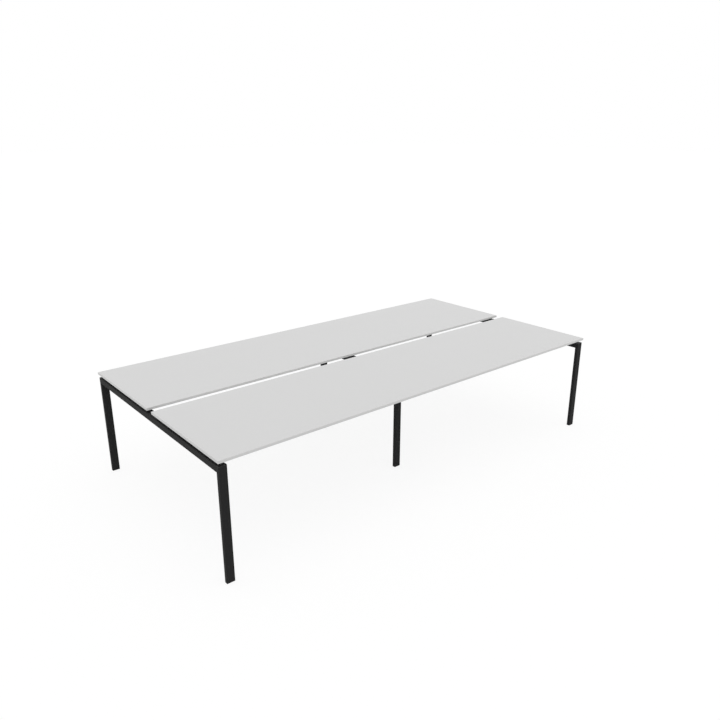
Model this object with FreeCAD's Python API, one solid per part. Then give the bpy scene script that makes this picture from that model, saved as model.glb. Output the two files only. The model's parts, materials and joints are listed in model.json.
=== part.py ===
import FreeCAD, Part
import math
import os

# Four-person bench desk: two rows of two places, back to back, on an open steel frame.
# X runs along the length, Y from the front row to the rear row, and Z up from the floor.
# The origin is on the floor, below the middle of the desk. Lengths are in millimetres.

# Whole desk
LENGTH = 3200.0
TOP_DEPTH = 800.0
CABLE_GAP = 65.0
HEIGHT = 740.0

# Worktops
TOP_THICK = 16.0
BAND_THICK = 2.0
BAND_ROUND = 1.0
SHADOW_GAP = 21.0

# Frame tubes
LEG_X = 50.0
LEG_Y = 25.0
BEAM_HEIGHT = 40.0
RAIL_WIDTH = 25.0
TUBE_WALL = 2.0
TUBE_ROUND = 3.0

# Where the frame stands under the tops
END_INSET = 3.5
SIDE_INSET = 6.5
MIDDLE_INSET = 395.0

# Rail end plates, with two bolts each
PLATE_THICK = 4.0
PLATE_WIDTH = 80.0
PLATE_TO_LEG = 5.0
BOLT_SPACING = 56.0
BOLT_DIA = 6.0
BOLT_LENGTH = 16.0
BOLT_HEAD_DIA = 10.0
BOLT_HEAD = 6.0
BOLT_SOCKET = 5.0
RIVET_DIA = 9.0
RIVET_LENGTH = 14.0
RIVET_BULGE_DIA = 12.5
RIVET_BULGE = 3.0

# Screws and spacers that hold the tops
SPACER_DIA = 24.0
SCREW_DIA = 5.0
SCREW_LENGTH = 35.0
SCREW_HEAD_DIA = 10.0
SCREW_HEAD = 3.5
SCREW_SOCKET = 3.0
ACCESS_DIA = 12.0
SCREW_FROM_GAP = 70.0
SCREW_FROM_EDGE = 60.0
SCREW_OUT_OF_RAIL = 130.0
SCREW_IN_FROM_RAIL = 110.0
RAIL_SCREW_SHARES = (3 / 16, 8 / 16, 13 / 16)

# Plastic caps and plugs in the legs
CAP_FLANGE = 2.0
CAP_DEPTH = 12.0
CAP_WALL = 2.0
PLUG_FLANGE = 3.0
PLUG_DEPTH = 20.0
PLUG_WALL = 2.0

# Levelling feet
PAD_DIA = 17.0
PAD_HEIGHT = 8.0
PAD_SHOWS = 2.0
PAD_ROUND = 0.8
RECESS_PLAY = 1.0
KEY_HOLE_DIA = 6.6
PAD_FLOOR = 2.5
COLLAR_DIA = 11.0
COLLAR_HEIGHT = 3.2
STEM_DIA = 8.0
STEM_TOP = 40.0
STEM_CHAMFER = 1.0
STEM_SOCKET = 5.0
STEM_SOCKET_DEPTH = 6.0
NUT_ACROSS = 13.0
NUT_HEIGHT = 6.5

# Clearances
FIT = 0.05
LOOSE = 0.3
PUSH_IN = 0.15

# How far a cutting shape runs past the face that it cuts
PAST_FACE = 1.0

# Derived positions
DEPTH = 2 * TOP_DEPTH + CABLE_GAP
TOP_UNDER = HEIGHT - TOP_THICK
FRAME_TOP = TOP_UNDER - SHADOW_GAP
BEAM_Z = FRAME_TOP - BEAM_HEIGHT / 2
BEAM_UNDER = FRAME_TOP - BEAM_HEIGHT
END_X = LENGTH / 2 - END_INSET - LEG_X / 2
END_Y = DEPTH / 2 - SIDE_INSET - LEG_Y / 2
MIDDLE_Y = DEPTH / 2 - MIDDLE_INSET - LEG_Y / 2
RAIL_Y = MIDDLE_Y - LEG_Y / 2 - PLATE_TO_LEG - PLATE_WIDTH / 2
INNER_SCREW_Y = CABLE_GAP / 2 + SCREW_FROM_GAP
END_SCREW_Y = (INNER_SCREW_Y, RAIL_Y + SCREW_OUT_OF_RAIL, DEPTH / 2 - SCREW_FROM_EDGE)
MIDDLE_SCREW_Y = (INNER_SCREW_Y, RAIL_Y - SCREW_IN_FROM_RAIL)
RAIL_SCREW_X = [share * LENGTH / 2 for share in RAIL_SCREW_SHARES]
PLUG_UNDER = PAD_SHOWS
LEG_UNDER = PLUG_UNDER + PLUG_FLANGE
LEG_TOP = FRAME_TOP - CAP_FLANGE
NUT_UNDER = PAD_HEIGHT + LOOSE

UP = FreeCAD.Vector(0, 0, 1)
AXES = (FreeCAD.Vector(1, 0, 0), FreeCAD.Vector(0, 1, 0), UP)

# Each leg, by name: the X and Y of its centre line
LEGS = {
    "left_front": (-END_X, -END_Y),
    "left_rear": (-END_X, END_Y),
    "middle_front": (0.0, -MIDDLE_Y),
    "middle_rear": (0.0, MIDDLE_Y),
    "right_front": (END_X, -END_Y),
    "right_rear": (END_X, END_Y),
}

# Each beam, by name: its X, the Y of its legs, and the sides that carry rails
BEAMS = {
    "left": (-END_X, END_Y, (1,)),
    "middle": (0.0, MIDDLE_Y, (-1, 1)),
    "right": (END_X, END_Y, (-1,)),
}

# Each rail, by name: its side along X and its side along Y
RAILS = {
    "front_left": (-1, -1),
    "front_right": (1, -1),
    "rear_left": (-1, 1),
    "rear_right": (1, 1),
}


def moved(shape, x, y, z):
    """A copy of the shape, shifted."""
    return shape.translated(FreeCAD.Vector(x, y, z))


def rod(diameter, start, end, axis=2):
    """A round rod on the origin's line along one axis, from start to end."""
    direction = AXES[axis]
    return Part.makeCylinder(diameter / 2, end - start, direction * start, direction)


def hexagon(across, start, end):
    """A hexagonal rod along Z, from start to end."""
    radius = across / math.sqrt(3)
    angles = [math.radians(60 * i) for i in range(7)]
    corners = [FreeCAD.Vector(radius * math.cos(a), radius * math.sin(a), start) for a in angles]
    return Part.Face(Part.makePolygon(corners)).extrude(UP * (end - start))


def long_edges(shape, axis):
    """The straight edges of a box that run along one axis."""
    spans = [(e, e.Vertexes[1].Point - e.Vertexes[0].Point) for e in shape.Edges]
    return [e for e, span in spans if abs(span.dot(AXES[axis])) > 0.999 * span.Length]


def bar(size, axis, radius):
    """A box centred on the origin, with its four edges along one axis rounded."""
    corner = FreeCAD.Vector(-size[0] / 2, -size[1] / 2, -size[2] / 2)
    box = Part.makeBox(size[0], size[1], size[2], corner)
    return box.makeFillet(radius, long_edges(box, axis))


def tube(size, axis):
    """A rectangular tube centred on the origin, open at both ends of one axis."""
    hollow = [s if i == axis else s - 2 * TUBE_WALL for i, s in enumerate(size)]
    return bar(size, axis, TUBE_ROUND).cut(bar(hollow, axis, TUBE_ROUND - TUBE_WALL))


def screw_places():
    """The X and Y of every screw that holds the tops, one list for each member of the frame."""
    places = {}
    for name in ("left", "right"):
        x = BEAMS[name][0]
        places[name] = [(x, side * y) for y in END_SCREW_Y for side in (-1, 1)]
    places["middle"] = [(0.0, side * y) for y in MIDDLE_SCREW_Y for side in (-1, 1)]
    for name, (along, across) in RAILS.items():
        places[name] = [(along * x, across * RAIL_Y) for x in RAIL_SCREW_X]
    return places


def all_screws():
    """Every screw place in one list."""
    return [place for places in screw_places().values() for place in places]


def top_board(side):
    """The board of one top, less its edge strips, with a blind hole for each screw."""
    size = (LENGTH - 2 * BAND_THICK, TOP_DEPTH - 2 * BAND_THICK, TOP_THICK)
    middle = side * (CABLE_GAP + TOP_DEPTH) / 2
    corner = FreeCAD.Vector(-size[0] / 2, middle - size[1] / 2, TOP_UNDER)
    board = Part.makeBox(size[0], size[1], size[2], corner)
    tip = FRAME_TOP - TUBE_WALL + SCREW_LENGTH
    hole = rod(SCREW_DIA + 2 * FIT, TOP_UNDER, tip + LOOSE)
    holes = [moved(hole, x, y, 0) for x, y in all_screws() if y * side > 0]
    return board.cut(Part.Compound(holes))


def edge_strip(length, axis, outward):
    """One edge strip, centred on the origin, with its two outer long edges rounded."""
    size = [BAND_THICK, BAND_THICK, TOP_THICK]
    size[axis] = length
    corner = FreeCAD.Vector(-size[0] / 2, -size[1] / 2, -size[2] / 2)
    strip = Part.makeBox(size[0], size[1], size[2], corner)
    across = 1 - axis
    outer = [e for e in long_edges(strip, axis) if e.CenterOfMass[across] * outward > 0]
    return strip.makeFillet(BAND_ROUND, outer)


def top_strips(row, side):
    """The four edge strips of one top, by node name. The long strips cover the ends of the short ones."""
    middle = side * (CABLE_GAP + TOP_DEPTH) / 2
    z = HEIGHT - TOP_THICK / 2
    reach_y = (TOP_DEPTH - BAND_THICK) / 2
    reach_x = (LENGTH - BAND_THICK) / 2
    strips = {}
    for name, out in (("outer", side), ("inner", -side)):
        strip = edge_strip(LENGTH, 0, out)
        strips[row + "_top_" + name + "_strip"] = moved(strip, 0, middle + out * reach_y, z)
    for name, out in (("left", -1), ("right", 1)):
        strip = edge_strip(TOP_DEPTH - 2 * BAND_THICK, 1, out)
        strips[row + "_top_" + name + "_strip"] = moved(strip, out * reach_x, middle, z)
    return strips


def leg(x, y):
    """One leg tube, between its plug and its cap."""
    return moved(tube((LEG_X, LEG_Y, LEG_TOP - LEG_UNDER), 2), x, y, (LEG_TOP + LEG_UNDER) / 2)


def screw_holes(places):
    """Cutters for the screws of one tube: a hole in its upper wall and a driver hole in its lower one."""
    through = rod(SCREW_DIA + 2 * LOOSE, BEAM_Z, FRAME_TOP + PAST_FACE)
    access = rod(ACCESS_DIA, BEAM_UNDER - PAST_FACE, BEAM_Z)
    return [moved(hole, x, y, 0) for x, y in places for hole in (through, access)]


def bolt_rows():
    """The Y of every rail bolt on one beam."""
    half = BOLT_SPACING / 2
    return [side * RAIL_Y + offset for side in (-1, 1) for offset in (-half, half)]


def beam(name):
    """One cross beam between its two legs, with holes for its rivet nuts and screws."""
    x, leg_y, sides = BEAMS[name]
    length = 2 * (leg_y - LEG_Y / 2)
    shape = moved(tube((LEG_X, length, BEAM_HEIGHT), 1), x, 0, BEAM_Z)
    cutters = screw_holes(screw_places()[name])
    for side in sides:
        hole = rod(RIVET_DIA + 2 * FIT, 0, LEG_X / 2 + PAST_FACE, 0)
        if side < 0:
            hole = rod(RIVET_DIA + 2 * FIT, -LEG_X / 2 - PAST_FACE, 0, 0)
        cutters += [moved(hole, x, y, BEAM_Z) for y in bolt_rows()]
    return shape.cut(Part.Compound(cutters))


def rail_span(along):
    """The two X at which the plates of a rail meet the middle beam and the end beam."""
    return along * LEG_X / 2, along * (END_X - LEG_X / 2)


def rail(name):
    """One rail tube between its two end plates, with holes for its screws."""
    along, across = RAILS[name]
    inner, outer = rail_span(along)
    length = abs(outer - inner) - 2 * PLATE_THICK
    shape = moved(tube((length, RAIL_WIDTH, BEAM_HEIGHT), 0), (inner + outer) / 2, across * RAIL_Y, BEAM_Z)
    return shape.cut(Part.Compound(screw_holes(screw_places()[name])))


def rail_ends():
    """Each rail end, as the X of the beam face, the Y of the rail and the way into the beam."""
    ends = []
    for along, across in RAILS.values():
        inner, outer = rail_span(along)
        ends.append((inner, across * RAIL_Y, -along))
        ends.append((outer, across * RAIL_Y, along))
    return ends


def rail_plate():
    """One end plate, its outer face on the origin and its body towards +X."""
    plate = moved(bar((PLATE_THICK, PLATE_WIDTH, BEAM_HEIGHT), 0, TUBE_ROUND), PLATE_THICK / 2, 0, 0)
    hole = rod(BOLT_DIA + 2 * LOOSE, -PAST_FACE, PLATE_THICK + PAST_FACE, 0)
    return plate.cut(Part.Compound([moved(hole, 0, s * BOLT_SPACING / 2, 0) for s in (-1, 1)]))


def rail_bolt():
    """One socket-head bolt, its head on a plate that stands on the origin, its thread towards -X."""
    thread = rod(BOLT_DIA, PLATE_THICK - BOLT_LENGTH, PLATE_THICK, 0)
    head = rod(BOLT_HEAD_DIA, PLATE_THICK, PLATE_THICK + BOLT_HEAD, 0)
    socket = hexagon(BOLT_SOCKET, PLATE_THICK + BOLT_HEAD / 2, PLATE_THICK + BOLT_HEAD + PAST_FACE)
    socket.rotate(FreeCAD.Vector(0, 0, 0), AXES[1], 90)
    return thread.fuse(head).removeSplitter().cut(socket)


def rivet_nut():
    """One rivet nut, flush with a beam face on the origin, set into the beam towards -X."""
    body = rod(RIVET_DIA, -RIVET_LENGTH, 0, 0)
    bulge = rod(RIVET_BULGE_DIA, -TUBE_WALL - RIVET_BULGE, -TUBE_WALL, 0)
    bore = rod(BOLT_DIA + 2 * FIT, -RIVET_LENGTH - PAST_FACE, PAST_FACE, 0)
    return body.fuse(bulge).cut(bore)


def at_rail_ends(shape, offsets):
    """Copies of a shape at every rail end, turned to face into the rail, at offsets along Y."""
    copies = []
    for x, y, into in rail_ends():
        turned = shape.copy()
        if into > 0:
            turned.rotate(FreeCAD.Vector(0, 0, 0), UP, 180)
        copies += [moved(turned, x, y + offset, BEAM_Z) for offset in offsets]
    return Part.Compound(copies)


def spacer():
    """One spacer between the frame and a top."""
    bore = rod(SCREW_DIA + 2 * LOOSE, FRAME_TOP - PAST_FACE, TOP_UNDER + PAST_FACE)
    return rod(SPACER_DIA, FRAME_TOP, TOP_UNDER).cut(bore)


def top_screw():
    """One screw, its head against the inside of a tube's upper wall."""
    seat = FRAME_TOP - TUBE_WALL
    head = rod(SCREW_HEAD_DIA, seat - SCREW_HEAD, seat)
    shank = rod(SCREW_DIA, seat, seat + SCREW_LENGTH)
    socket = hexagon(SCREW_SOCKET, seat - SCREW_HEAD - PAST_FACE, seat - SCREW_HEAD / 2)
    return head.fuse(shank).cut(socket)


def inside_leg(height, low):
    """A block that fits inside a leg tube."""
    size_x = LEG_X - 2 * TUBE_WALL - 2 * PUSH_IN
    size_y = LEG_Y - 2 * TUBE_WALL - 2 * PUSH_IN
    return moved(bar((size_x, size_y, height), 2, TUBE_ROUND - TUBE_WALL), 0, 0, low + height / 2)


def leg_flange(height, low):
    """A plate with the outline of a leg."""
    return moved(bar((LEG_X, LEG_Y, height), 2, TUBE_ROUND), 0, 0, low + height / 2)


def leg_cap():
    """The plastic cap in the top end of a leg, hollow from below."""
    low = LEG_TOP - CAP_DEPTH
    size_x = LEG_X - 2 * (TUBE_WALL + PUSH_IN + CAP_WALL)
    size_y = LEG_Y - 2 * (TUBE_WALL + PUSH_IN + CAP_WALL)
    hollow = Part.makeBox(size_x, size_y, CAP_DEPTH, FreeCAD.Vector(-size_x / 2, -size_y / 2, low))
    return leg_flange(CAP_FLANGE, LEG_TOP).fuse(inside_leg(CAP_DEPTH, low)).cut(hollow)


def leg_plug():
    """The plastic plug in the lower end of a leg: a recess for the pad, a pocket for the nut, and a bore."""
    body = leg_flange(PLUG_FLANGE, PLUG_UNDER).fuse(inside_leg(PLUG_DEPTH, LEG_UNDER))
    top = LEG_UNDER + PLUG_DEPTH
    recess = rod(PAD_DIA + RECESS_PLAY, PLUG_UNDER - PAST_FACE, NUT_UNDER)
    pocket = hexagon(NUT_ACROSS + 2 * FIT, NUT_UNDER, NUT_UNDER + NUT_HEIGHT)
    bore = rod(STEM_DIA + 2 * LOOSE, PLUG_UNDER, top + PAST_FACE)
    start = PAD_DIA / 2 + PLUG_WALL
    end = LEG_X / 2 - TUBE_WALL - PUSH_IN - PLUG_WALL
    wide = LEG_Y - 2 * (TUBE_WALL + PUSH_IN + PLUG_WALL)
    corner = FreeCAD.Vector(start, -wide / 2, LEG_UNDER)
    pockets = [Part.makeBox(end - start, wide, PLUG_DEPTH + PAST_FACE, corner)]
    pockets.append(pockets[0].mirror(FreeCAD.Vector(0, 0, 0), AXES[0]))
    return body.cut(Part.Compound([recess, bore] + pockets)).cut(pocket)


def foot_nut():
    """The nut that a stem turns in."""
    nut = hexagon(NUT_ACROSS, NUT_UNDER, NUT_UNDER + NUT_HEIGHT)
    bore = rod(STEM_DIA + 2 * FIT, NUT_UNDER - PAST_FACE, NUT_UNDER + NUT_HEIGHT + PAST_FACE)
    return nut.cut(bore)


def foot_pad():
    """The pad under a foot: a disc with a closed socket for the collar and a key hole below."""
    disc = rod(PAD_DIA, 0, PAD_HEIGHT)
    rim = [e for e in disc.Edges if e.isClosed() and e.CenterOfMass.z < PAD_HEIGHT / 2]
    disc = disc.makeFillet(PAD_ROUND, rim)
    socket = rod(COLLAR_DIA + 2 * PUSH_IN, PAD_FLOOR, PAD_FLOOR + COLLAR_HEIGHT + 2 * PUSH_IN)
    neck = rod(STEM_DIA + 2 * PUSH_IN, PAD_FLOOR, PAD_HEIGHT + PAST_FACE)
    key_hole = rod(KEY_HOLE_DIA, -PAST_FACE, PAD_FLOOR + PAST_FACE)
    return disc.cut(socket.fuse(neck).fuse(key_hole))


def foot_stem():
    """The threaded stem of a foot, with a collar in the pad and a key socket in its lower end."""
    low = PAD_FLOOR + PUSH_IN
    collar = rod(COLLAR_DIA, low, low + COLLAR_HEIGHT)
    shank = rod(STEM_DIA, low, STEM_TOP)
    tip = [e for e in shank.Edges if e.isClosed() and e.CenterOfMass.z > STEM_TOP / 2]
    shank = shank.makeChamfer(STEM_CHAMFER, tip)
    socket = hexagon(STEM_SOCKET, low - PAST_FACE, low + STEM_SOCKET_DEPTH)
    return shank.fuse(collar).cut(socket)


def make_nodes():
    """Every node of the desk, by name."""
    nodes = {}
    for row, side in (("front", -1), ("rear", 1)):
        nodes[row + "_top_board"] = top_board(side)
        nodes.update(top_strips(row, side))
    for name in BEAMS:
        nodes[name + "_beam"] = beam(name)
    for name in RAILS:
        nodes[name + "_rail"] = rail(name)
    cap, plug, pad, stem = leg_cap(), leg_plug(), foot_pad(), foot_stem()
    for name, (x, y) in LEGS.items():
        nodes[name + "_leg"] = leg(x, y)
        nodes[name + "_cap"] = moved(cap, x, y, 0)
        nodes[name + "_plug"] = moved(plug, x, y, 0)
        nodes[name + "_foot_pad"] = moved(pad, x, y, 0)
        nodes[name + "_foot_stem"] = moved(stem, x, y, 0)
    half = BOLT_SPACING / 2
    nodes["rail_plates"] = at_rail_ends(rail_plate(), (0.0,))
    nodes["rail_bolts"] = at_rail_ends(rail_bolt(), (-half, half))
    nodes["rail_rivet_nuts"] = at_rail_ends(rivet_nut(), (-half, half))
    nodes["foot_nuts"] = Part.Compound([moved(foot_nut(), x, y, 0) for x, y in LEGS.values()])
    nodes["top_spacers"] = Part.Compound([moved(spacer(), x, y, 0) for x, y in all_screws()])
    nodes["top_screws"] = Part.Compound([moved(top_screw(), x, y, 0) for x, y in all_screws()])
    return nodes


os.makedirs("parts", exist_ok=True)
for node, shape in make_nodes().items():
    shape.exportStep("parts/" + node + ".step")
    print(node, len(shape.Solids), "solids", round(shape.Volume / 1000.0, 2), "cm3", shape.isValid())
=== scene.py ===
# %% [markdown]
# # A four-person bench desk
# The desk is two long white worktops, back to back, on an open frame of black steel tube with six
# screw feet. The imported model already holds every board, tube, plug and screw at its real size.
# They could be modelled again here, but two models drift apart, so this script dresses the packed
# solids as they are. It adds what the solids leave out: the finishes, the weld beads, the cut
# threads, and a studio to see them in.

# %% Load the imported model
import json
import math

import bpy
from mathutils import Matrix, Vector


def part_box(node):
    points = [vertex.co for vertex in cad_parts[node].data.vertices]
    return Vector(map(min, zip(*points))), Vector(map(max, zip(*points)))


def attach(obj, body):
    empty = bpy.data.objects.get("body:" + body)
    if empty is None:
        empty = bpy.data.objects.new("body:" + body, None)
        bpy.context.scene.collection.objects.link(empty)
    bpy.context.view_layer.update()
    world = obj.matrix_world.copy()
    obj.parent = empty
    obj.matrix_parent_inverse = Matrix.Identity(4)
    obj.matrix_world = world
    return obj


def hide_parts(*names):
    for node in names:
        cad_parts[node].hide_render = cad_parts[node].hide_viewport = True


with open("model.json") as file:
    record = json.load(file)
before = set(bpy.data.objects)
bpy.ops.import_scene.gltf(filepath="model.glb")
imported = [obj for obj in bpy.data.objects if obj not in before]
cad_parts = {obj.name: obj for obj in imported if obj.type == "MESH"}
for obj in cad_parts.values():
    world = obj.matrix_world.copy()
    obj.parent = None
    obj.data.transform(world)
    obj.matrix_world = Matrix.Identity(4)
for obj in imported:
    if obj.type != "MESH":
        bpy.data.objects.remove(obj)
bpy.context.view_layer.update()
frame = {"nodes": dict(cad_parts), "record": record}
nodes = frame["nodes"]
DIGITS = 4


def metres(point):
    """A point in metres for printing, to a tenth of a millimetre."""
    return [round(value, DIGITS) for value in point]


# %% [markdown]
# ## The camera
# The picture looks down on the desk past its left front corner. A camera can be set by eye, but
# then the lines of the desk never quite fall on the lines of the picture. The edges of the tops
# and legs run to three vanishing points, which give the focal length and the tilt, and the height
# of the worktops gives the distance. A fit over all these edges then settles the last fractions.
# The picture is taken to be 720 pixels square. The lens is the focal length in pixels as a share
# of that, times the width of the sensor.

# %% Set the camera
PICTURE_PIXELS = 720
FOCAL_PIXELS = 675.6
SENSOR_WIDTH = 36.0
CAMERA_AT = (-2.9802, -3.5955, 2.3270)
TILT_DOWN = 19.285
HEADING = 50.207

camera_data = bpy.data.cameras.new("studio_camera")
camera_data.sensor_width = SENSOR_WIDTH
camera_data.lens = FOCAL_PIXELS / PICTURE_PIXELS * SENSOR_WIDTH
camera = bpy.data.objects.new("studio_camera", camera_data)
camera.location = CAMERA_AT
camera.rotation_euler = (math.radians(90 - TILT_DOWN), 0, math.radians(HEADING - 90))
bpy.context.scene.collection.objects.link(camera)
bpy.context.scene.camera = camera
print("lens:", round(camera_data.lens, DIGITS), "mm")

# %% [markdown]
# ## Nodes in code
# A finish is a tree of nodes. Patterns make masks, masks mix colours and numbers, and a shader
# turns these into a surface. Such a tree can be drawn by hand in the node editor, or written down.
# Written down, it can be read from top to bottom and changed in one place, so a few helpers keep
# the writing short.
# Every pattern below reads object coordinates. Each solid sits at the origin with its place in its
# mesh, so a pattern has the same scale on all of them: sizes are in metres, and 0.001 is a
# millimetre.

# %% Node helpers
def feed(tree, socket, value):
    """Links an output to an input socket, or sets the input's own value."""
    if isinstance(value, bpy.types.NodeSocket):
        tree.links.new(value, socket)
    else:
        socket.default_value = value


def add_node(tree, kind, inputs=None, **settings):
    """A new node with its settings, and its inputs fed by name or by place."""
    node = tree.nodes.new(kind)
    for name, value in settings.items():
        setattr(node, name, value)
    for name, value in (inputs or {}).items():
        feed(tree, node.inputs[name], value)
    return node


def sums(tree, operation, *values, clamp=False):
    """The result of a Math node on one or two values, each an output or a number."""
    inputs = dict(enumerate(values))
    node = add_node(tree, "ShaderNodeMath", inputs, operation=operation, use_clamp=clamp)
    return node.outputs["Value"]


def spread(tree, value, low, high, start=0.0, end=1.0):
    """A number that goes from low to high while the value goes from start to end."""
    inputs = {"Value": value, "From Min": start, "From Max": end, "To Min": low, "To Max": high}
    return add_node(tree, "ShaderNodeMapRange", inputs).outputs["Result"]


def axis_values(tree, vector):
    """The X, Y and Z of a vector output, as three outputs."""
    return add_node(tree, "ShaderNodeSeparateXYZ", {"Vector": vector}).outputs


def object_place(tree):
    """The point of the surface that is being shaded, in metres from the origin."""
    return add_node(tree, "ShaderNodeTexCoord").outputs["Object"]


node_helpers = (feed, add_node, sums, spread, axis_values, object_place)
print("node helpers:", ", ".join(helper.__name__ for helper in node_helpers))

# %% [markdown]
# Melamine, powder coat, plastic and zinc share some effects. Each effect is a node group: a small
# tree with named inputs and outputs that is built once and placed in every finish that needs it,
# with that finish's own values.

# %% Group helpers
def new_group(name, inputs, outputs):
    """An empty node group with number inputs, at their usual values, and number outputs."""
    tree = bpy.data.node_groups.new(name, "ShaderNodeTree")
    for label, value in inputs.items():
        socket = tree.interface.new_socket(label, in_out="INPUT", socket_type="NodeSocketFloat")
        socket.default_value = value
    for label in outputs:
        tree.interface.new_socket(label, in_out="OUTPUT", socket_type="NodeSocketFloat")
    group_inputs = tree.nodes.new("NodeGroupInput").outputs
    group_outputs = tree.nodes.new("NodeGroupOutput").inputs
    return tree, group_inputs, group_outputs


def place_group(tree, group, inputs):
    """One use of a node group, with its own inputs. What comes back is its outputs."""
    return add_node(tree, "ShaderNodeGroup", inputs, node_tree=group).outputs


print("group helpers:", new_group.__name__, "and", place_group.__name__)

# %% [markdown]
# ## Shared effect: surface grain
# Pressed melamine, baked powder and moulded plastic all have a fine grain, each at its own size,
# and all vary slowly from place to place. A photograph of each face would show both, but a picture
# has seams and one fixed size. Noise has neither, so the group holds two: Grain for bumps and
# speckles, and Cloud for slow changes.
# Noise keeps near its middle value, so the part from 0.3 to 0.7 is stretched to run from 0 to 1.

# %% Group: surface grain
NOISE_LOW = 0.3
NOISE_HIGH = 0.7
NOISE_ROUGHNESS = 0.55
NOISE_DETAIL = {"Grain": 2.0, "Cloud": 4.0}

grain_group, grain_in, grain_out = new_group(
    "surface_grain", {"Grain Size": 0.001, "Cloud Size": 0.2}, NOISE_DETAIL)
place = object_place(grain_group)
for label, detail in NOISE_DETAIL.items():
    scale = sums(grain_group, "DIVIDE", 1.0, grain_in[label + " Size"])
    noise = add_node(grain_group, "ShaderNodeTexNoise",
                     {"Vector": place, "Scale": scale, "Detail": detail, "Roughness": NOISE_ROUGHNESS})
    stretched = spread(grain_group, noise.outputs["Fac"], 0.0, 1.0, NOISE_LOW, NOISE_HIGH)
    feed(grain_group, grain_out[label], stretched)
print("group:", grain_group.name, "gives", " and ".join(NOISE_DETAIL))

# %% [markdown]
# ## Shared effect: worn edges
# Hands, chairs and cleaning rub a desk on its edges first, which go paler and smoother. The edges
# could be painted by hand, one piece after another. Here the Bevel node finds them: it gives the
# normal that a rounded edge would have, and where that leaves the real normal there is an edge.
# Clouds then break the line up, because real wear is never even.

# %% Group: worn edges
EDGE_GAIN = 6.0
BEVEL_RAYS = 4

wear_group, wear_in, wear_out = new_group(
    "worn_edges", {"Edge Width": 0.002, "Patch Size": 0.05, "Amount": 1.0}, ("Wear",))
rounded = add_node(wear_group, "ShaderNodeBevel",
                   {"Radius": wear_in["Edge Width"]}, samples=BEVEL_RAYS)
surface = add_node(wear_group, "ShaderNodeNewGeometry")
agree = add_node(wear_group, "ShaderNodeVectorMath",
                 {0: rounded.outputs["Normal"], 1: surface.outputs["Normal"]},
                 operation="DOT_PRODUCT")
edge = sums(wear_group, "SUBTRACT", 1.0, agree.outputs["Value"])
edge = sums(wear_group, "MULTIPLY", edge, EDGE_GAIN)
patch = place_group(wear_group, grain_group, {"Cloud Size": wear_in["Patch Size"]})
wear = sums(wear_group, "MULTIPLY", edge, patch["Cloud"])
wear = sums(wear_group, "MULTIPLY", wear, wear_in["Amount"], clamp=True)
feed(wear_group, wear_out["Wear"], wear)
print("group:", wear_group.name, "gives Wear")

# %% [markdown]
# ## Shared effect: settled dust
# A thin film of dust lies on whatever faces up: the tops and the upper faces of the tubes. Grains
# of dust could be scattered as meshes, but from a step away the film only shifts the colour. So
# the upward part of the normal picks the faces, and clouds make the film uneven.

# %% Group: settled dust
DUST_FROM = 0.75

dust_group, dust_in, dust_out = new_group(
    "settled_dust", {"Patch Size": 0.3, "Amount": 0.2}, ("Dust",))
surface = add_node(dust_group, "ShaderNodeNewGeometry")
facing = axis_values(dust_group, surface.outputs["Normal"])
upward = spread(dust_group, facing["Z"], 0.0, 1.0, DUST_FROM, 1.0)
film = place_group(dust_group, grain_group, {"Cloud Size": dust_in["Patch Size"]})
dust = sums(dust_group, "MULTIPLY", upward, film["Cloud"])
dust = sums(dust_group, "MULTIPLY", dust, dust_in["Amount"])
feed(dust_group, dust_out["Dust"], dust)
print("group:", dust_group.name, "gives Dust")

# %% [markdown]
# ## The start of a finish
# Each finish of the desk is one Principled shader, which covers paint, plastic and metal alike.
# Several simpler shaders could be mixed instead, but one is easier to follow and to carry to other
# programs. A number that is the same all over goes on the shader's own socket. Colour, roughness
# and bump come from the groups.
# A Mix node keeps a set of sockets for each kind of data, and all sets have the same names, so its
# two colours and their mix are found by their places.

# %% Finish helpers
MIX_LOW = 6
MIX_HIGH = 7
MIX_RESULT = 2


def new_finish(name, inputs):
    """A material with one Principled shader, with plain values on its own sockets."""
    material = bpy.data.materials.new(name)
    material.use_nodes = True
    shader = material.node_tree.nodes["Principled BSDF"]
    for label, value in inputs.items():
        feed(material.node_tree, shader.inputs[label], value)
    return material, material.node_tree, shader.inputs


def mix_colour(tree, mask, low, high):
    """A colour between two colours, each an output or three numbers, by a mask."""
    ends = [(*end, 1.0) if isinstance(end, tuple) else end for end in (low, high)]
    node = add_node(tree, "ShaderNodeMix", {0: mask}, data_type="RGBA")
    feed(tree, node.inputs[MIX_LOW], ends[0])
    feed(tree, node.inputs[MIX_HIGH], ends[1])
    return node.outputs[MIX_RESULT]


def raised(tree, height, strength, distance):
    """The normal of a surface with bumps, from a height that runs from 0 to 1 over a distance."""
    inputs = {"Height": height, "Strength": strength, "Distance": distance}
    return add_node(tree, "ShaderNodeBump", inputs).outputs["Normal"]


finish_helpers = (new_finish, mix_colour, raised)
print("finish helpers:", ", ".join(helper.__name__ for helper in finish_helpers))

# %% [markdown]
# ## White melamine
# The boards are chipboard with a white melamine face, pressed between plates that leave a fine
# pearl texture. The glue line where the face meets its edge strip shows as a hair of grey, 0.4 mm
# wide, round each board. It could be a thin mesh of its own, but it has no thickness, so it is a
# mask: the points of the board that are nearly as far from its middle as its outline. The two
# boards mirror each other in Y, so one mask serves both.

# %% The glue line
GLUE_LINE = 0.0004
board_low, board_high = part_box("rear_top_board")
board_middle = (board_low + board_high) / 2
board_reach = (board_high - board_low) / 2


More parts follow.
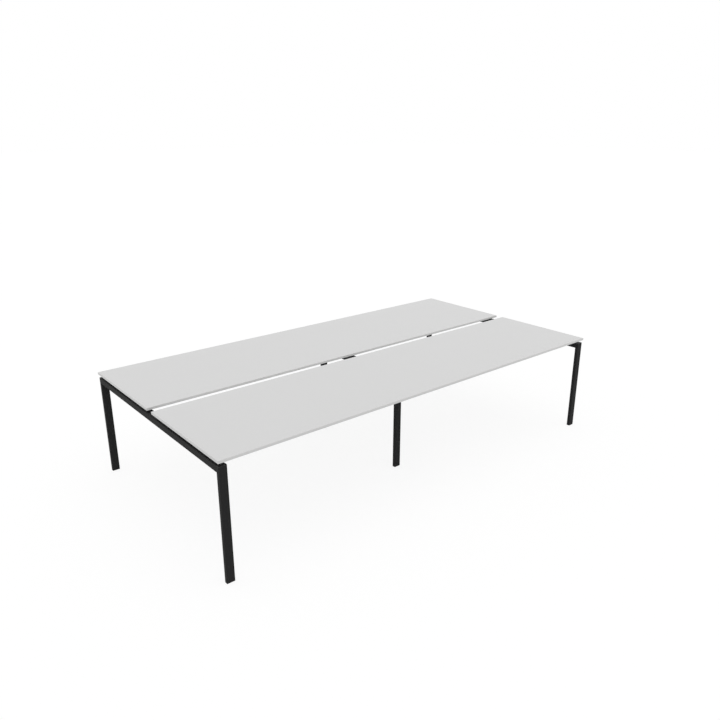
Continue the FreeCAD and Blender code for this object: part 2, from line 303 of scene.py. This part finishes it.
def glue_line(tree):
    """A mask of the thin line round each board where its face meets the edge strips."""
    x, y, _ = axis_values(tree, object_place(tree))
    along = sums(tree, "ABSOLUTE", x)
    across = sums(tree, "SUBTRACT", sums(tree, "ABSOLUTE", y), board_middle.y)
    at_end = sums(tree, "GREATER_THAN", along, board_reach.x - GLUE_LINE)
    at_side = sums(tree, "GREATER_THAN", sums(tree, "ABSOLUTE", across), board_reach.y - GLUE_LINE)
    return sums(tree, "MAXIMUM", at_end, at_side)


print("a board reaches", metres(board_reach.xy), "m each way from its middle")

# %% [markdown]
# The face itself is almost even: speckles of a millimetre and slow clouds change its white by a
# part in fifty. It is written as a light grey, not as pure white, because no real board sends back
# all the light that falls on it.

# %% Finish: white melamine
CLOUD_SHARE = 0.4
FACE_DARK = (0.712, 0.712, 0.710)
FACE_LIGHT = (0.742, 0.742, 0.741)
FACE_CLOUD = (0.722, 0.722, 0.722)
FACE_DUST = (0.60, 0.59, 0.57)
GLUE_GREY = (0.42, 0.41, 0.39)

melamine, tree, shader = new_finish("white_melamine", {"Specular IOR Level": 0.35})
grain = place_group(tree, grain_group, {"Grain Size": 0.0012, "Cloud Size": 0.35})
dust = place_group(tree, dust_group, {"Patch Size": 0.5, "Amount": 0.03})
colour = mix_colour(tree, grain["Grain"], FACE_DARK, FACE_LIGHT)
clouds = sums(tree, "MULTIPLY", grain["Cloud"], CLOUD_SHARE)
colour = mix_colour(tree, clouds, colour, FACE_CLOUD)
colour = mix_colour(tree, dust["Dust"], colour, FACE_DUST)
colour = mix_colour(tree, glue_line(tree), colour, GLUE_GREY)
feed(tree, shader["Base Color"], colour)
feed(tree, shader["Roughness"], spread(tree, grain["Grain"], low=0.40, high=0.50))
feed(tree, shader["Normal"], raised(tree, grain["Grain"], strength=0.5, distance=0.00006))
print("finish:", melamine.name, "with", len(tree.nodes), "nodes")

# %% [markdown]
# ## White edge strip
# The edges of the boards are closed by a 2 mm plastic strip in the same white. It is pressed out
# of a slot, so its texture is faint lines along its length. A wave pattern would draw them too
# evenly, so the lines are noise, stretched fifty times longer on the flat than in height. That
# suits the long strips and the short ones alike.

# %% Finish: white edge strip
STRIP_LINES = 1800.0
LINE_STRETCH = (0.02, 0.02, 1.0)
LINE_DETAIL = 2.0
STRIP_LIGHT = (0.730, 0.730, 0.727)
STRIP_DARK = (0.712, 0.712, 0.710)
STRIP_RUBBED = (0.64, 0.63, 0.61)

strip_white, tree, shader = new_finish("white_edge_strip", {"Specular IOR Level": 0.4})
stretch = add_node(tree, "ShaderNodeMapping",
                   {"Vector": object_place(tree), "Scale": LINE_STRETCH})
lines = add_node(tree, "ShaderNodeTexNoise",
                 {"Vector": stretch.outputs["Vector"], "Scale": STRIP_LINES, "Detail": LINE_DETAIL})
grain = place_group(tree, grain_group, {"Grain Size": 0.0008, "Cloud Size": 0.25})
wear = place_group(tree, wear_group, {"Edge Width": 0.0008, "Patch Size": 0.06, "Amount": 0.25})
colour = mix_colour(tree, grain["Cloud"], STRIP_LIGHT, STRIP_DARK)
colour = mix_colour(tree, wear["Wear"], colour, STRIP_RUBBED)
feed(tree, shader["Base Color"], colour)
feed(tree, shader["Roughness"], spread(tree, lines.outputs["Fac"], low=0.36, high=0.48))
feed(tree, shader["Normal"], raised(tree, lines.outputs["Fac"], strength=0.4, distance=0.00004))
print("finish:", strip_white.name, "with", len(tree.nodes), "nodes")

# %% [markdown]
# ## Black powder coat
# The tubes are sprayed with black powder and baked. This is the matt, finely textured kind: a
# dense grain of a little under a millimetre, with hardly any gloss. Its edges are painted paler:
# partly rubbed wear, partly a painted highlight for the sheen that the low gloss leaves out.
# Written as pure black it would look like a hole in the picture, so it is a very dark grey,
# speckled by its own grain.

# %% Finish: black powder coat
COAT_DARK = (0.0170, 0.0170, 0.0172)
COAT_LIGHT = (0.0330, 0.0330, 0.0332)
COAT_CLOUD = (0.0270, 0.0270, 0.0272)
COAT_RUBBED_AND_HIGHLIGHT = (0.055, 0.055, 0.056)
COAT_DUST = (0.20, 0.19, 0.18)

powder_coat, tree, shader = new_finish("black_powder_coat", {"Specular IOR Level": 0.05})
grain = place_group(tree, grain_group, {"Grain Size": 0.0008, "Cloud Size": 0.15})
wear = place_group(tree, wear_group, {"Edge Width": 0.0025, "Patch Size": 0.05, "Amount": 0.35})
dust = place_group(tree, dust_group, {"Patch Size": 0.2, "Amount": 0.06})
colour = mix_colour(tree, grain["Grain"], COAT_DARK, COAT_LIGHT)
clouds = sums(tree, "MULTIPLY", grain["Cloud"], CLOUD_SHARE)
colour = mix_colour(tree, clouds, colour, COAT_CLOUD)
# Paler edges: rubbed wear and a painted highlight together.
colour = mix_colour(tree, wear["Wear"], colour, COAT_RUBBED_AND_HIGHLIGHT)
colour = mix_colour(tree, dust["Dust"], colour, COAT_DUST)
feed(tree, shader["Base Color"], colour)
feed(tree, shader["Roughness"], spread(tree, grain["Grain"], low=0.52, high=0.70))
feed(tree, shader["Normal"], raised(tree, grain["Grain"], strength=0.8, distance=0.00010))
print("finish:", powder_coat.name, "with", len(tree.nodes), "nodes")

# %% [markdown]
# ## Black moulded plastic
# The caps, plugs and spacers are moulded in a tool with a spark-eroded face, which leaves a
# coarser and sharper grain than paint. Noise is too soft for it. Voronoi cells give small bumps
# with creases between them, as on such a face.

# %% Finish: black moulded plastic
TOOL_CELLS = 1400.0
MOULDING_DARK = (0.012, 0.012, 0.012)
MOULDING_LIGHT = (0.018, 0.018, 0.018)
MOULDING_RUBBED = (0.06, 0.06, 0.06)

moulding, tree, shader = new_finish("black_moulding", {"Specular IOR Level": 0.4})
cells = add_node(tree, "ShaderNodeTexVoronoi", {"Vector": object_place(tree), "Scale": TOOL_CELLS})
grain = place_group(tree, grain_group, {"Cloud Size": 0.03})
wear = place_group(tree, wear_group, {"Edge Width": 0.001, "Patch Size": 0.02, "Amount": 0.3})
colour = mix_colour(tree, grain["Cloud"], MOULDING_DARK, MOULDING_LIGHT)
colour = mix_colour(tree, wear["Wear"], colour, MOULDING_RUBBED)
feed(tree, shader["Base Color"], colour)
feed(tree, shader["Roughness"], spread(tree, grain["Cloud"], low=0.50, high=0.65))
feed(tree, shader["Normal"],
     raised(tree, cells.outputs["Distance"], strength=0.6, distance=0.00010))
print("finish:", moulding.name, "with", len(tree.nodes), "nodes")

# %% [markdown]
# ## Foot nylon
# The pads are black nylon, a little shinier than the plugs above them, and the floor scuffs their
# lowest millimetre grey. The scuffs could be painted on each pad, but height above the floor
# already says where they are.

# %% Finish: foot nylon
SCUFF_TOP = 0.0012
NYLON_BLACK = (0.016, 0.016, 0.016)
NYLON_SCUFFED = (0.16, 0.155, 0.15)

nylon, tree, shader = new_finish("pad_nylon", {"Specular IOR Level": 0.45})
grain = place_group(tree, grain_group, {"Grain Size": 0.0006, "Cloud Size": 0.008})
height = axis_values(tree, object_place(tree))["Z"]
near_floor = spread(tree, height, 1.0, 0.0, 0.0, SCUFF_TOP)
scuff = sums(tree, "MULTIPLY", near_floor, grain["Cloud"])
feed(tree, shader["Base Color"], mix_colour(tree, scuff, NYLON_BLACK, NYLON_SCUFFED))
feed(tree, shader["Roughness"], spread(tree, scuff, low=0.38, high=0.75))
feed(tree, shader["Normal"], raised(tree, grain["Grain"], strength=0.5, distance=0.00005))
print("finish:", nylon.name, "with", len(tree.nodes), "nodes")

# %% [markdown]
# ## Zinc plate
# Screws, bolts, nuts and stems are steel under a thin plate of zinc: a soft silver with a faint
# play of cold and warm tints, duller where the plate is thick and brighter on its rubbed edges.
# A plain grey metal would look cast, so clouds a little under a centimetre wide shift both the
# tint and the gloss.

# %% Finish: zinc plate
ZINC_COLD = (0.56, 0.59, 0.63)
ZINC_WARM = (0.64, 0.62, 0.57)
ZINC_RUBBED = (0.78, 0.78, 0.78)

zinc, tree, shader = new_finish("zinc_plate", {"Metallic": 1.0})
grain = place_group(tree, grain_group, {"Grain Size": 0.0005, "Cloud Size": 0.009})
wear = place_group(tree, wear_group, {"Edge Width": 0.0006, "Patch Size": 0.006, "Amount": 0.6})
colour = mix_colour(tree, grain["Cloud"], ZINC_COLD, ZINC_WARM)
colour = mix_colour(tree, wear["Wear"], colour, ZINC_RUBBED)
feed(tree, shader["Base Color"], colour)
feed(tree, shader["Roughness"], spread(tree, grain["Cloud"], low=0.26, high=0.40))
feed(tree, shader["Normal"], raised(tree, grain["Grain"], strength=0.3, distance=0.00001))
print("finish:", zinc.name, "with", len(tree.nodes), "nodes")

# %% [markdown]
# ## Dressing the solids
# Every board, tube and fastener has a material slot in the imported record. A finish could be given
# to each solid by name, but a list by slot is shorter, and it dresses a solid that is added to the
# model later as well. Only the material of a solid changes. Its mesh and its place stay as they
# were packed.

# %% Dress every solid
FINISHES = {
    "white_board": melamine,
    "white_edging": strip_white,
    "black_frame": powder_coat,
    "black_plastic": moulding,
    "foot_nylon": nylon,
    "zinc_steel": zinc,
}
for part in frame["record"]["subparts"]:
    solid = nodes[part["node"]]
    solid.data.materials.clear()
    solid.data.materials.append(FINISHES[part["material_slot"]])

# %% [markdown]
# ## A piece from rings
# Weld beads and screw threads are not boxes or cylinders, but both are stacks of rings: closed
# loops of points, one after another along a line. They could be swept from curves, but then the
# scallops of a bead and the helix of a thread are hard to reach. With rings, the size of each loop
# is a line of code.
# The helper joins neighbouring rings with four-sided faces, closes both ends, and hands the piece
# to its body.

# %% Ring helper
SHARP_FROM = math.radians(40)


def ring_faces(first, rows, count):
    """The faces of one closed run of rings, whose points start at a place in the mesh."""
    faces = []
    for row in range(rows - 1):
        low = first + row * count
        high = low + count
        for i in range(count):
            j = (i + 1) % count
            faces.append((low + i, low + j, high + j, high + i))
    last = first + (rows - 1) * count
    faces.append(tuple(first + i for i in reversed(range(count))))
    faces.append(tuple(last + i for i in range(count)))
    return faces


def ring_piece(name, runs, slot, body):
    """One piece made of closed runs of rings, in the finish of its slot, riding on a body."""
    points = []
    faces = []
    for rings in runs:
        faces += ring_faces(len(points), len(rings), len(rings[0]))
        points += [point for ring in rings for point in ring]
    mesh = bpy.data.meshes.new(name)
    mesh.from_pydata(points, [], faces)
    mesh.polygons.foreach_set("use_smooth", [True] * len(faces))
    mesh.set_sharp_from_angle(angle=SHARP_FROM)
    mesh.materials.append(FINISHES[slot])
    piece = bpy.data.objects.new(name, mesh)
    bpy.context.scene.collection.objects.link(piece)
    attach(piece, body)
    return piece


print("ring helpers:", ring_faces.__name__, "and", ring_piece.__name__)

# %% [markdown]
# ## Threaded stems
# Each foot turns in its nut on an M8 stem, and the thread shows when the foot is screwed out. The
# packed stem is a plain rod of the thread's outside size, because a cut thread would slow down
# every check of the model. A screw modifier could wind a profile into a thread. Here the radius of
# a point depends on its height and its angle together, and that alone turns a stack of rings into
# a helix, with a run-in at both ends for free.
# The pitch is 1.25 mm, and the thread is right-handed: seen from above, it climbs anticlockwise.
# Of each pitch, a quarter is root and a quarter is crest, with a flank of a quarter on each side.

# %% The section of a stem
PITCH = 0.00125
CREST = 0.00395
ROOT = 0.00330
ROOT_SHARE = 0.25
FLANK_SHARE = 0.25
KEY_ACROSS = 0.005
KEY_SIDE = math.pi / 3


def key_radius(angle):
    """How far the wall of the hexagonal key socket is from the middle, at an angle."""
    from_flat = (angle + KEY_SIDE / 2) % KEY_SIDE - KEY_SIDE / 2
    return KEY_ACROSS / 2 / math.cos(from_flat)


def thread_radius(angle, height):
    """The radius of the thread at an angle and a height: a flat crest, two flanks, a flat root."""
    phase = (height / PITCH - angle / (2 * math.pi)) % 1.0
    rise = (abs(phase - 0.5) - ROOT_SHARE / 2) / FLANK_SHARE
    return ROOT + (CREST - ROOT) * min(1.0, max(0.0, rise))


thread_depth = round(1000 * (CREST - ROOT), DIGITS)
print("thread depth:", thread_depth, "mm, key:", 1000 * KEY_ACROSS, "mm across")

# %% [markdown]
# The rings of a stem start at the bottom of its key socket and come down the wall of the socket.
# They turn round the lower face and the collar, which the pad holds, and then climb the thread to
# the tip.

# %% The rings of a stem
KEY_DEPTH = 0.006
COLLAR_HEIGHT = 0.0032
COLLAR_BEVEL = 0.0003
TIP_CHAMFER = 0.0010
TIP_IN = 0.0004
STEM_POINTS = 48
RINGS_PER_TURN = 10


def stem_rings(low, high):
    """The rings of one stem that fills the box from low to high, its collar as wide as the box."""
    middle = (low + high) / 2
    collar = (high.x - low.x) / 2
    collar_top = low.z + COLLAR_HEIGHT
    angles = [2 * math.pi * i / STEM_POINTS for i in range(STEM_POINTS)]

    def ring(height, radii):
        return [(middle.x + radius * math.cos(angle), middle.y + radius * math.sin(angle), height)
                for angle, radius in zip(angles, radii)]

    def round_ring(height, radius):
        return ring(height, [radius] * STEM_POINTS)

    socket_wall = [key_radius(angle) for angle in angles]
    rings = [ring(low.z + KEY_DEPTH, socket_wall), ring(low.z, socket_wall)]
    rings.append(round_ring(low.z, collar - COLLAR_BEVEL))
    rings.append(round_ring(low.z + COLLAR_BEVEL, collar))
    rings.append(round_ring(collar_top - COLLAR_BEVEL, collar))
    rings.append(round_ring(collar_top, collar - COLLAR_BEVEL))
    rings.append(round_ring(collar_top, ROOT))
    steps = int((high.z - TIP_CHAMFER - collar_top) / PITCH * RINGS_PER_TURN)
    for step in range(1, steps + 1):
        height = collar_top + step * PITCH / RINGS_PER_TURN
        run_in = min(1.0, step / RINGS_PER_TURN, (steps - step) / RINGS_PER_TURN)
        radii = [ROOT + (thread_radius(angle, height) - ROOT) * run_in for angle in angles]
        rings.append(ring(height, radii))
    rings.append(round_ring(high.z, ROOT - TIP_IN))
    return rings


stem_names = sorted(name for name in nodes if name.endswith("_foot_stem"))
for name in stem_names:
    rings = stem_rings(*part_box(name))
    stem = ring_piece(name + "_threaded", [rings], "zinc_steel", name)
    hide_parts(name)
print("threaded stems:", len(stem_names), "with", len(rings), "rings each")

# %% [markdown]
# ## Weld beads
# The legs are welded to the cross beams, and the rails to their end plates. A bead is a row of
# small frozen pools, each a little on top of the last, so along its length it is a chain of
# scallops with rounded ends. A bump in the paint could suggest that from far off, but close to it
# the outline would stay straight, so each bead is a real mesh. It lies half sunk in the corner
# that it fills.

# %% Bead rings
BEAD_POINTS = 14
RINGS_PER_SCALLOP = 5
SCALLOP = 0.0020
SCALLOP_DEPTH = 0.12
BLUNT_END = 0.2


def bead_rings(start, end, radius):
    """The rings of a straight bead from start to end."""
    length = (end - start).length
    along = (end - start).normalized()
    side = along.orthogonal().normalized()
    up = along.cross(side)
    turns = [2 * math.pi * i / BEAD_POINTS for i in range(BEAD_POINTS)]
    outline = [side * math.cos(turn) + up * math.sin(turn) for turn in turns]
    count = int(length / SCALLOP * RINGS_PER_SCALLOP)
    rings = []
    for step in range(count + 1):
        travel = length * step / count
        scallop = 1.0 - SCALLOP_DEPTH * ((travel / SCALLOP) % 1.0)
        to_end = min(travel, length - travel, radius) / radius
        rounding = max(BLUNT_END, math.sqrt(1.0 - (1.0 - to_end) ** 2))
        centre = start + along * travel
        rings.append([centre + point * radius * scallop * rounding for point in outline])
    return rings


print("a bead has a scallop every", SCALLOP * 1000, "mm")

# %% [markdown]
# Where a leg meets its beam, the rounded corner of the leg leaves a groove on each side. It shows
# from outside, so it is filled and ground flush before the frame is coated. The ground seam
# follows the side of the tubes, and the rounded edges of the beam above and below, a hair lower
# here and there, as a grinder leaves it. A fast and a slow wave together make that unevenness.

# %% Ground seams
TUBE_ROUND = 0.003
SEAM_RINGS = 25
SEAM_FULL = 0.98
SEAM_SUNK = 0.0001
GROUND_AWAY = 0.00006
FAST_WAVE = 2.1
SLOW_WAVE = 0.7


def seam_rings(x, inward, face, out, low, high):
    """The rings up one seam: at a side of the tubes, from the beam's end to the leg's flat side."""
    root = x + inward * (TUBE_ROUND + SEAM_SUNK)
    edge = face + out * TUBE_ROUND
    rings = []
    for step in range(SEAM_RINGS):
        share = (1 - math.cos(math.pi * step / (SEAM_RINGS - 1))) / 2
        z = low + (high - low) * share
        into_corner = max(0.0, TUBE_ROUND - min(z - low, high - z))
        rounding = TUBE_ROUND - math.sqrt(TUBE_ROUND ** 2 - into_corner ** 2)
        uneven = math.sin(FAST_WAVE * step) * math.cos(SLOW_WAVE * step)
        ground = GROUND_AWAY * (1.0 + uneven) / 2
        skin = x + inward * (rounding * SEAM_FULL + ground)
        outside = [(skin, face, z), (skin, (face + edge) / 2, z), (skin, edge, z)]
        corners = outside + [(root, edge, z), (root, face, z)]
        rings.append(corners if inward * out < 0 else corners[::-1])
    return rings


print("a seam is", TUBE_ROUND * 1000, "mm wide")

# %% [markdown]
# Nobody sees the corner below a beam, so its bead is left as it was laid. The boxes of the tubes
# give every place, so the welds follow the frame. All the welds of one end frame are a single
# piece, because they are coated together.

# %% Weld the legs to the beams
LEG_BEAD = 0.0024
for end in ("left", "middle", "right"):
    beam_low, beam_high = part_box(end + "_beam")
    runs = []
    for row, face, out in (("front", beam_low.y, -1), ("rear", beam_high.y, 1)):
        leg_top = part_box(f"{end}_{row}_leg")[1].z
        runs.append(seam_rings(beam_low.x, 1, face, out, beam_low.z, leg_top))
        runs.append(seam_rings(beam_high.x, -1, face, out, beam_low.z, leg_top))
        bead_start = Vector((beam_low.x + TUBE_ROUND, face, beam_low.z))
        bead_end = Vector((beam_high.x - TUBE_ROUND, face, beam_low.z))
        runs.append(bead_rings(bead_start, bead_end, LEG_BEAD))
    welds = ring_piece(end + "_frame_welds", runs, "black_frame", "desk")
    print(welds.name, "has", len(runs), "runs")

# %% [markdown]
# A rail is welded to the plate at each of its ends: up both sides, and below. The bead below is a
# little higher than the corner, so that it stays clear of the plate's lower edge. The top is left
# bare, because a worktop's spacers need a flat face there.

# %% Weld the rails to their plates
RAIL_BEAD = 0.0018
UNDER_BEAD_UP = 0.0005
for name in sorted(name for name in nodes if name.endswith("_rail")):
    rail_low, rail_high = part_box(name)
    under = rail_low.z + UNDER_BEAD_UP
    runs = []
    for x in (rail_low.x, rail_high.x):
        bead_start = Vector((x, rail_low.y + TUBE_ROUND, under))
        bead_end = Vector((x, rail_high.y - TUBE_ROUND, under))
        runs.append(bead_rings(bead_start, bead_end, RAIL_BEAD))
        for y in (rail_low.y, rail_high.y):
            bead_start = Vector((x, y, rail_low.z + TUBE_ROUND))
            bead_end = Vector((x, y, rail_high.z - TUBE_ROUND))
            runs.append(bead_rings(bead_start, bead_end, RAIL_BEAD))
    welds = ring_piece(name + "_welds", runs, "black_frame", "desk")
    print(welds.name, "has", len(runs), "runs")

# %% [markdown]
# ## The floor
# The desk stands on a plain white floor. A bright lamp could bleach a grey floor to white, but it
# would bleach the worktops too. So the floor is two things. To light that bounces it is a plain
# pale floor. To rays from the camera, and to those that reach it in a reflection, most of its
# white is its own glow and a small part is lit, so that it stays white and still keeps the shadow
# of the desk.

# %% Floor
FLOOR_REACH = 60.0
FLOOR_PALE = (0.80, 0.80, 0.80, 1.0)
FLOOR_LIT = (0.14, 0.14, 0.14, 1.0)
FLOOR_GLOW = 0.88
FLOOR_CORNERS = ((-1, -1), (1, -1), (1, 1), (-1, 1))


def seen_rays(tree):
    """A mask of the rays that show a surface: the camera's, and those of a gloss or a clear piece."""
    rays = add_node(tree, "ShaderNodeLightPath").outputs
    direct = sums(tree, "MAXIMUM", rays["Is Camera Ray"], rays["Is Glossy Ray"])
    return sums(tree, "MAXIMUM", direct, rays["Is Transmission Ray"])


white = bpy.data.materials.new("studio_white")
white.use_nodes = True
tree = white.node_tree
tree.nodes.remove(tree.nodes["Principled BSDF"])
bounced = add_node(tree, "ShaderNodeBsdfDiffuse", {"Color": FLOOR_PALE}).outputs["BSDF"]
lit = add_node(tree, "ShaderNodeBsdfDiffuse", {"Color": FLOOR_LIT}).outputs["BSDF"]
glow = add_node(tree, "ShaderNodeEmission", {"Strength": FLOOR_GLOW}).outputs["Emission"]
shown = add_node(tree, "ShaderNodeAddShader", {0: lit, 1: glow}).outputs["Shader"]
pick = add_node(tree, "ShaderNodeMixShader", {0: seen_rays(tree), 1: bounced, 2: shown})
feed(tree, tree.nodes["Material Output"].inputs["Surface"], pick.outputs["Shader"])

corners = [(x * FLOOR_REACH, y * FLOOR_REACH, 0.0) for x, y in FLOOR_CORNERS]
floor_mesh = bpy.data.meshes.new("studio_floor")
floor_mesh.from_pydata(corners, [], [(0, 1, 2, 3)])
floor_mesh.materials.append(white)
floor = bpy.data.objects.new("studio_floor", floor_mesh)
bpy.context.scene.collection.objects.link(floor)
print("floor:", 2 * FLOOR_REACH, "m square")

# %% [markdown]
# ## The light
# The faces of the desk are evenly lit and only a little apart in tone, as in a white studio tent.
# A row of area lamps would do, but a near lamp is brighter at one end of a desk this long. A white
# sky lights everything alike, and one broad, far lamp above the front row sets the tops a little
# over the sides. The sky is dimmer to light that bounces than to rays that show it.

# %% Sky and lamp
SKY = 0.67
SKY_SHOWN = 1.0
SKY_WHITE = (1.0, 1.0, 1.0, 1.0)
LAMP = 0.72
LAMP_BREADTH = 75.0
LAMP_TILT = 14.0

world = bpy.data.worlds.new("studio_sky")
world.use_nodes = True
tree = world.node_tree
background = tree.nodes["Background"].inputs
feed(tree, background["Color"], SKY_WHITE)
feed(tree, background["Strength"], spread(tree, seen_rays(tree), SKY, SKY_SHOWN))
bpy.context.scene.world = world

lamp_data = bpy.data.lights.new("soft_lamp", "SUN")
lamp_data.angle = math.radians(LAMP_BREADTH)
lamp_data.energy = LAMP
lamp = bpy.data.objects.new("soft_lamp", lamp_data)
lamp.rotation_euler = (math.radians(LAMP_TILT), 0, 0)
bpy.context.scene.collection.objects.link(lamp)
bpy.context.scene.view_settings.view_transform = "Standard"
print("sky:", SKY, "lamp:", LAMP)
